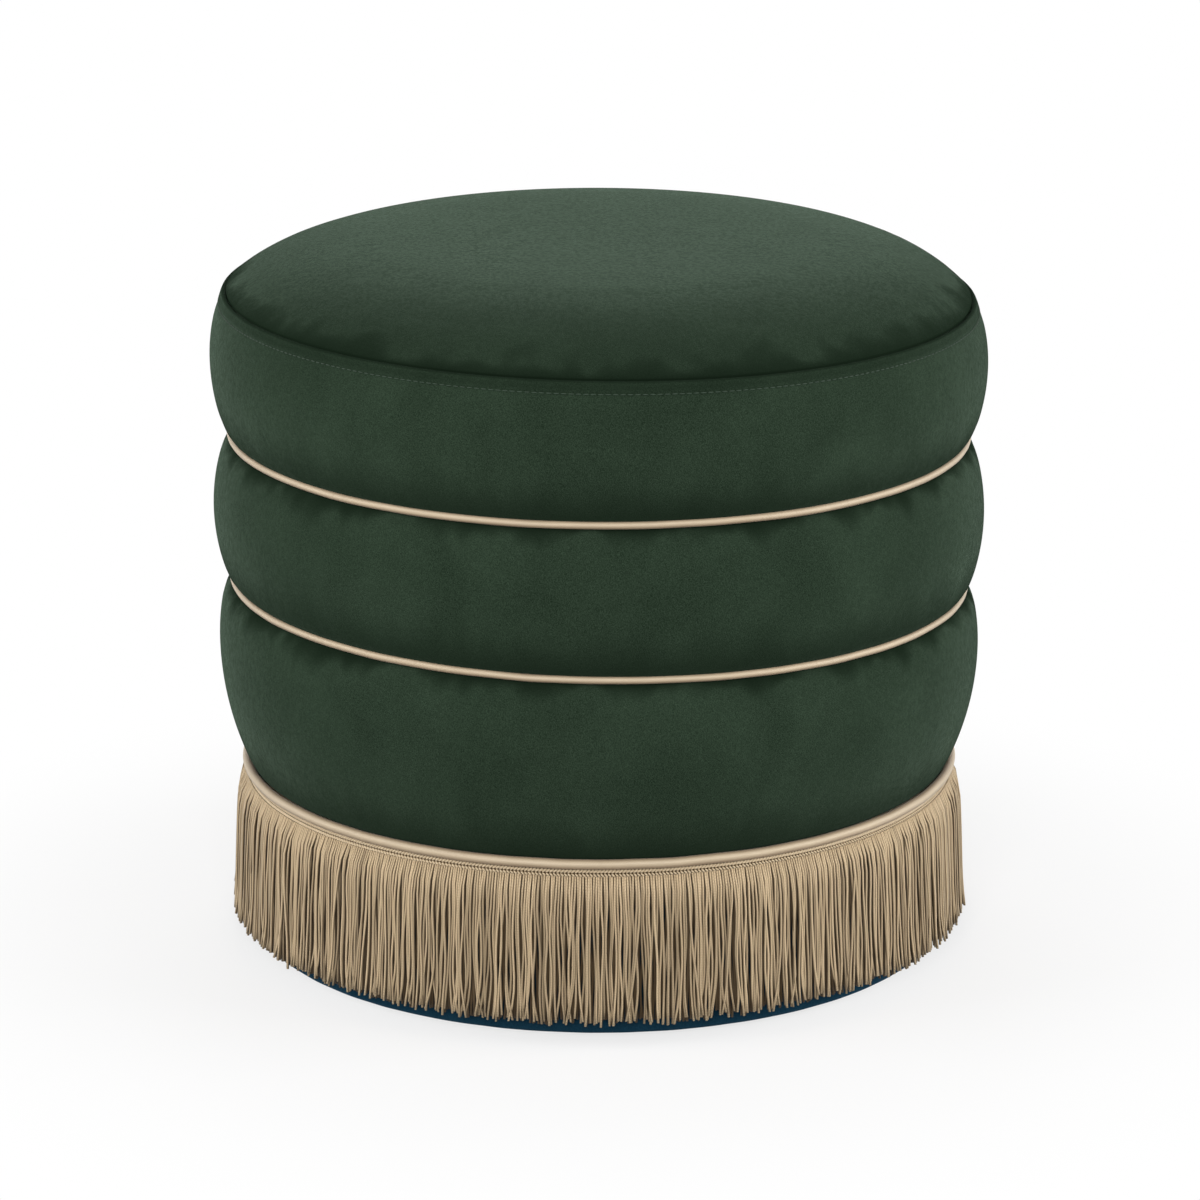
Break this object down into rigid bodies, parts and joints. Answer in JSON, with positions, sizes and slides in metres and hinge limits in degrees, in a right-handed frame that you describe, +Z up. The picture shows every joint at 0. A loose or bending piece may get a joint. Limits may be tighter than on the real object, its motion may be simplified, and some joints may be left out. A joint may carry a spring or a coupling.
{
  "type": "round ottoman",
  "caption": "Round upholstered drum ottoman with a crowned seat, stacked padded rolls, covered cords in the grooves and at the hem, and a cord fringe over a plain plinth.",
  "frame": {"origin": "on the floor, under the centre of the drum, in the plane of the glides' undersides", "axes": "+Z up along the drum's axis; -Y is the side that faces the camera in the picture; +X to its right"},
  "size_m": [0.45, 0.45, 0.4158],
  "materials": {
    "green_velvet": "short-pile velvet, dark green",
    "navy_velvet": "short-pile velvet, dark navy blue",
    "piping_cloth": "smooth tan satin over cord",
    "cord_core": "twisted cotton filler cord",
    "fringe_cord": "tan viscose chainette and braid",
    "foam": "open-cell upholstery foam",
    "wadding": "polyester wadding",
    "plywood": "raw plywood",
    "pine": "planed pine",
    "hardboard": "raw hardboard, bent to a cylinder",
    "dust_cloth": "black non-woven dust cloth",
    "glide_plastic": "tan moulded plastic",
    "zinc_steel": "zinc-plated steel"
  },
  "bodies": {
    "root": {"lower_band": "green_velvet", "middle_band": "green_velvet", "upper_band": "green_velvet", "top_panel": "green_velvet", "plinth_band": "navy_velvet", "hem_piping_cover": "piping_cloth", "lower_piping_cover": "piping_cloth", "upper_piping_cover": "piping_cloth", "hem_piping_cord": "cord_core", "lower_piping_cord": "cord_core", "upper_piping_cord": "cord_core", "fringe_header": "fringe_cord", "fringe_strands": "fringe_cord", "lower_roll_foam": "foam", "middle_roll_foam": "foam", "upper_roll_foam": "foam", "seat_foam": "foam", "lower_roll_wadding": "wadding", "middle_roll_wadding": "wadding", "seat_wadding": "wadding", "plinth_wadding": "wadding", "base_board": "plywood", "deck_board": "plywood", "hem_hoop": "plywood", "lower_hoop": "plywood", "upper_hoop": "plywood", "upright_1": "pine", "upright_2": "pine", "upright_3": "pine", "upright_4": "pine", "upright_5": "pine", "upright_6": "pine", "plinth_wrap": "hardboard", "lower_wrap": "hardboard", "middle_wrap": "hardboard", "upper_wrap": "hardboard", "dust_cover": "dust_cloth", "glide_1": "glide_plastic", "glide_2": "glide_plastic", "glide_3": "glide_plastic", "glide_4": "glide_plastic", "glide_5": "glide_plastic", "glide_6": "glide_plastic", "base_screws": "zinc_steel", "deck_screws": "zinc_steel", "hoop_screws": "zinc_steel", "hoop_staples": "zinc_steel", "dust_cover_staples": "zinc_steel", "glide_nails": "zinc_steel"}
  },
  "joints": []
}
